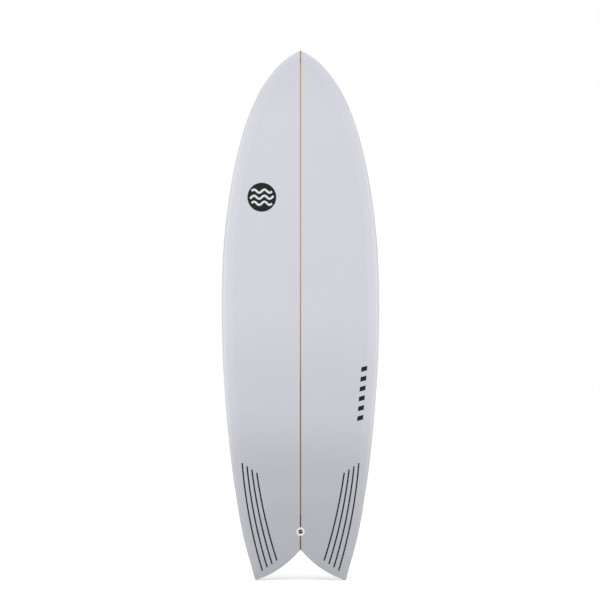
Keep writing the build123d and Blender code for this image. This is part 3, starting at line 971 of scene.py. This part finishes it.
def blown_foam():
    """Polyurethane foam, cut by a planer: fine open cells."""
    shader = Shader("polyurethane_foam", (0.78, 0.78, 0.75), 0.85)
    cells = shader.nodes.new("ShaderNodeTexVoronoi")
    cells.inputs["Scale"].default_value = 1200
    shader.link(shader.place, cells.inputs["Vector"])
    depth = cells.outputs["Distance"]
    shader.colour(shader.ramp(depth, [(0.0, (0.66, 0.66, 0.62)), (0.6, (0.82, 0.82, 0.79))]))
    shader.bump(depth, 0.6, 0.0003)
    return shader.material


def bare_wood(name, light, dark):
    """Sawn wood with no glass over it."""
    shader = Shader(name, light, 0.6)
    grain = shader.noise(160, detail=6, stretch=(9, 2, 0.25), roughness=0.65, distortion=0.4)
    shader.colour(shader.ramp(grain, [(0.3, dark), (0.7, light)]))
    shader.roughness(grain, 0.5, 0.7)
    shader.bump(grain, 0.3, 0.0002)
    return shader.material


def soft_rubber():
    """Dull black rubber."""
    shader = Shader("buffer_rubber", (0.02, 0.02, 0.02), 0.7)
    shader.colour(shader.ramp(shader.noise(300, detail=4), [(0.3, 0.014), (0.7, 0.035)]))
    shader.roughness(shader.noise(200, detail=3), 0.6, 0.85)
    shader.bump(shader.noise(900, detail=2), 0.4, 0.00005)
    return shader.material


def dress(names, material):
    """Gives CAD nodes their material."""
    for name in names:
        slots = NODES[name].material_slots
        if len(slots) == 0:
            NODES[name].data.materials.append(material)
        for material_slot in slots:
            material_slot.material = material


def nodes_ending(end):
    return [name for name in NODES if name.endswith(end)]


# ------------------------------------------------------------------------------------------------
# The board
# ------------------------------------------------------------------------------------------------
BUFFER_CORNER = 0.12
BUFFER_SHARP_ANGLE = 50
LEASH_HEIGHT = 168
MOUNTS = {mount["name"]: mount["axis"] for mount in frame["record"]["mounts"]}
# Painted shade of the deck and the bottom along the board: darker towards the tail and a little towards the nose.
DECK_PAINTED_SHADE = [(0.09, 0.39), (0.19, 0.42), (0.34, 0.512), (0.53, 0.552), (0.87, 0.55), (0.95, 0.53)]
BOTTOM_PAINTED_SHADE = [(0.1, 0.50), (0.25, 0.53), (0.5, 0.575), (0.75, 0.555), (0.95, 0.535)]
WOOD_LIGHT = (0.62, 0.33, 0.125)
WOOD_DARK = (0.365, 0.17, 0.055)
# Painted shade and light of the stringer along the board: darker towards the tail, lighter over the nose half.
WOOD_PAINTED_SHADE = [
    (0.12, (0.42, 0.31, 0.17)),
    (0.36, (0.5, 0.43, 0.33)),
    (0.42, (0.85, 0.8, 0.7)),
    (0.6, 1.12),
    (0.972, 1.12),
    (0.98, 0.6),
    (0.99, 1.0),
]


def make_board():
    stringer = glassed_wood("stringer_glassed", WOOD_LIGHT, WOOD_DARK, (0.16, 0.085, 0.04))
    deck_white = white_skin("deck_glass_over_foam", (0.99, 0.99, 1.06), DECK_PAINTED_SHADE)
    bottom_white = white_skin("bottom_glass_over_foam", (0.97, 1.0, 1.05), BOTTOM_PAINTED_SHADE)
    fin_pockets = [
        (f"{end}_{side}_resin", MOUNTS[f"{end}_{side}_fin"])
        for end in ("front", "rear")
        for side in ("right", "left")
    ]
    skin("deck", [deck_white, stringer, dark_insert()], [("leash_resin", MOUNTS["leash"])])
    skin("bottom", [bottom_white, stringer], fin_pockets)
    tape = [carbon()]
    deck_strips(tape)
    bottom_strips(tape)
    black = ink("mark_ink_dark", (0.009, 0.0095, 0.010), (0.016, 0.0165, 0.0175))
    white = ink("mark_ink_light", (0.62, 0.63, 0.65), (0.56, 0.57, 0.59))
    mark("deck_mark", "deck", DECK_MARK, [black, white])
    mark("bottom_mark", "bottom", BOTTOM_MARK, [black, white])
    bars("deck_bars", "deck", 1, [black])
    bars("bottom_bars", "bottom", -1, [black])
    lozenge([black])


def rubber_buffer(name):
    """A rubber block in the CAD buffer's place, with small round corners, that its barrel squeezes."""
    bm = bmesh.new()
    bm.from_mesh(NODES[name].data)
    bmesh.ops.remove_doubles(bm, verts=bm.verts, dist=SAME_POINT * MM)
    bmesh.ops.dissolve_limit(bm, angle_limit=math.radians(2), verts=bm.verts, edges=bm.edges)
    bmesh.ops.bevel(bm, geom=bm.edges, offset=BUFFER_CORNER * MM, segments=2, profile=0.6, affect="EDGES")
    bmesh.ops.scale(bm, vec=Vector((1, 1, 1)) / MM, verts=bm.verts)
    piece = smoothed(new_object(name + "_block", bm, [soft_rubber()]), BUFFER_SHARP_ANGLE)
    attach(piece, BOARD)
    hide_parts(name)
    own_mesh(piece)


def make_buffers():
    for joint in frame["joints"]:
        if joint["name"].endswith("_barrel_slide"):
            rubber_buffer(joint["name"].replace("_barrel_slide", "_buffer"))


def dress_fittings():
    """Materials of the pieces that keep their CAD shape."""
    dress(nodes_ending("_fin_box"), moulded("glass_filled_nylon", NYLON, NYLON_SCUFFED, 0.42))
    dress(nodes_ending("_resin"), potting_resin())
    dress(nodes_ending("_screw"), machined("stainless_steel", (0.52, 0.52, 0.51), (0.30, 0.30, 0.30), 0.3))
    titanium = machined("titanium", (0.46, 0.45, 0.44), (0.27, 0.26, 0.26), 0.34)
    dress(nodes_ending("_barrel"), titanium)
    dress(["leash_pin"], machined("stainless_pin", (0.55, 0.55, 0.54), (0.34, 0.34, 0.33), 0.28))
    dress(["leash_cup"], plug_plastic())
    dress(["foam_right", "foam_left"], blown_foam())
    dress(["stringer"], bare_wood("bare_basswood", WOOD_LIGHT, WOOD_DARK))
    dress(["tail_insert"], bare_wood("bare_hardwood", (0.12, 0.045, 0.02), (0.05, 0.018, 0.01)))


# ------------------------------------------------------------------------------------------------
# Floor, lights and camera
# ------------------------------------------------------------------------------------------------
FLOOR_HALF_SIZE = 30.0
FLOOR_DROP = 0.0005
WORLD_LIGHT = (0.93, 0.96, 1.0)
WORLD_STRENGTH = 0.42
CEILING_STRENGTH = 2.5
CEILING_SPREAD = 50

# Name, place, target, size in metres and power in watts.
AREA_LIGHTS = [
    ("front_key", (-0.4, -3.4, 4.4), (0, 0, 1.1), (2.4, 1.6), 84),
    ("back_key", (0.3, 4.0, 1.3), (0, 0, 0.9), (3.0, 2.4), 44),
    ("strip_left", (-2.0, -0.5, 1.1), (0, 0, 0.9), (0.4, 2.0), 7.5),
    ("strip_right", (2.0, -0.5, 1.1), (0, 0, 0.9), (0.4, 2.0), 7.5),
]


def make_floor():
    """A wide pale floor, a hair under the board's tips."""
    bm = bmesh.new()
    bmesh.ops.create_grid(bm, x_segments=24, y_segments=24, size=FLOOR_HALF_SIZE)
    mesh = bpy.data.meshes.new("floor")
    bm.to_mesh(mesh)
    bm.free()
    floor = bpy.data.objects.new("floor", mesh)
    floor.location.z = -FLOOR_DROP
    bpy.context.scene.collection.objects.link(floor)
    shader = Shader("floor_paint", (0.86, 0.86, 0.86), 0.9, specular_ior_level=0.1)
    shader.colour(shader.ramp(shader.noise(3, detail=2), [(0.3, 0.85), (0.7, 0.87)]))
    mesh.materials.append(shader.material)


def make_world():
    """Pure white to look at, and softer as a light."""
    world = bpy.data.worlds.new("studio")
    bpy.context.scene.world = world
    world.use_nodes = True
    nodes, links = world.node_tree.nodes, world.node_tree.links
    white = nodes["Background"]
    white.inputs["Color"].default_value = (1, 1, 1, 1)
    white.inputs["Strength"].default_value = 1.0
    soft = nodes.new("ShaderNodeBackground")
    soft.inputs["Color"].default_value = (*WORLD_LIGHT, 1)
    soft.inputs["Strength"].default_value = WORLD_STRENGTH
    path = nodes.new("ShaderNodeLightPath")
    mix = nodes.new("ShaderNodeMixShader")
    links.new(path.outputs["Is Camera Ray"], mix.inputs[0])
    links.new(soft.outputs[0], mix.inputs[1])
    links.new(white.outputs[0], mix.inputs[2])
    links.new(mix.outputs[0], nodes["World Output"].inputs["Surface"])


def area_light(name, place, target, size, power):
    """A rectangular lamp that faces its target and isn't seen itself."""
    data = bpy.data.lights.new(name, "AREA")
    data.shape = "RECTANGLE"
    data.size, data.size_y = size
    data.energy = power
    light = bpy.data.objects.new(name, data)
    light.location = place
    light.rotation_euler = (Vector(target) - Vector(place)).to_track_quat("-Z", "Y").to_euler()
    light.visible_camera = False
    bpy.context.scene.collection.objects.link(light)


def make_lights():
    """A wide soft light from straight above, and the area lights."""
    sun = bpy.data.lights.new("ceiling", "SUN")
    sun.energy = CEILING_STRENGTH
    sun.angle = math.radians(CEILING_SPREAD)
    ceiling = bpy.data.objects.new("ceiling", sun)
    bpy.context.scene.collection.objects.link(ceiling)
    for light in AREA_LIGHTS:
        area_light(*light)


def make_camera():
    """Square on to the deck, level and far away. It stands half a pixel to the left, so that the thin
    stringer falls on one column of pixels and not on the line between two."""
    picture_height = 2.081
    picture_pixels = 600
    middle_height = 0.969
    data = bpy.data.cameras.new("camera")
    data.lens = 150
    data.sensor_width = 36
    distance = picture_height * data.lens / data.sensor_width
    data.clip_end = 100
    camera = bpy.data.objects.new("camera", data)
    camera.location = (-picture_height / picture_pixels / 2, -distance, middle_height)
    camera.rotation_euler = (math.pi / 2, 0, 0)
    bpy.context.scene.collection.objects.link(camera)
    bpy.context.scene.camera = camera


make_board()
make_buffers()
dress_fittings()
make_floor()
make_world()
make_lights()
make_camera()
bpy.context.scene.view_settings.view_transform = "Standard"
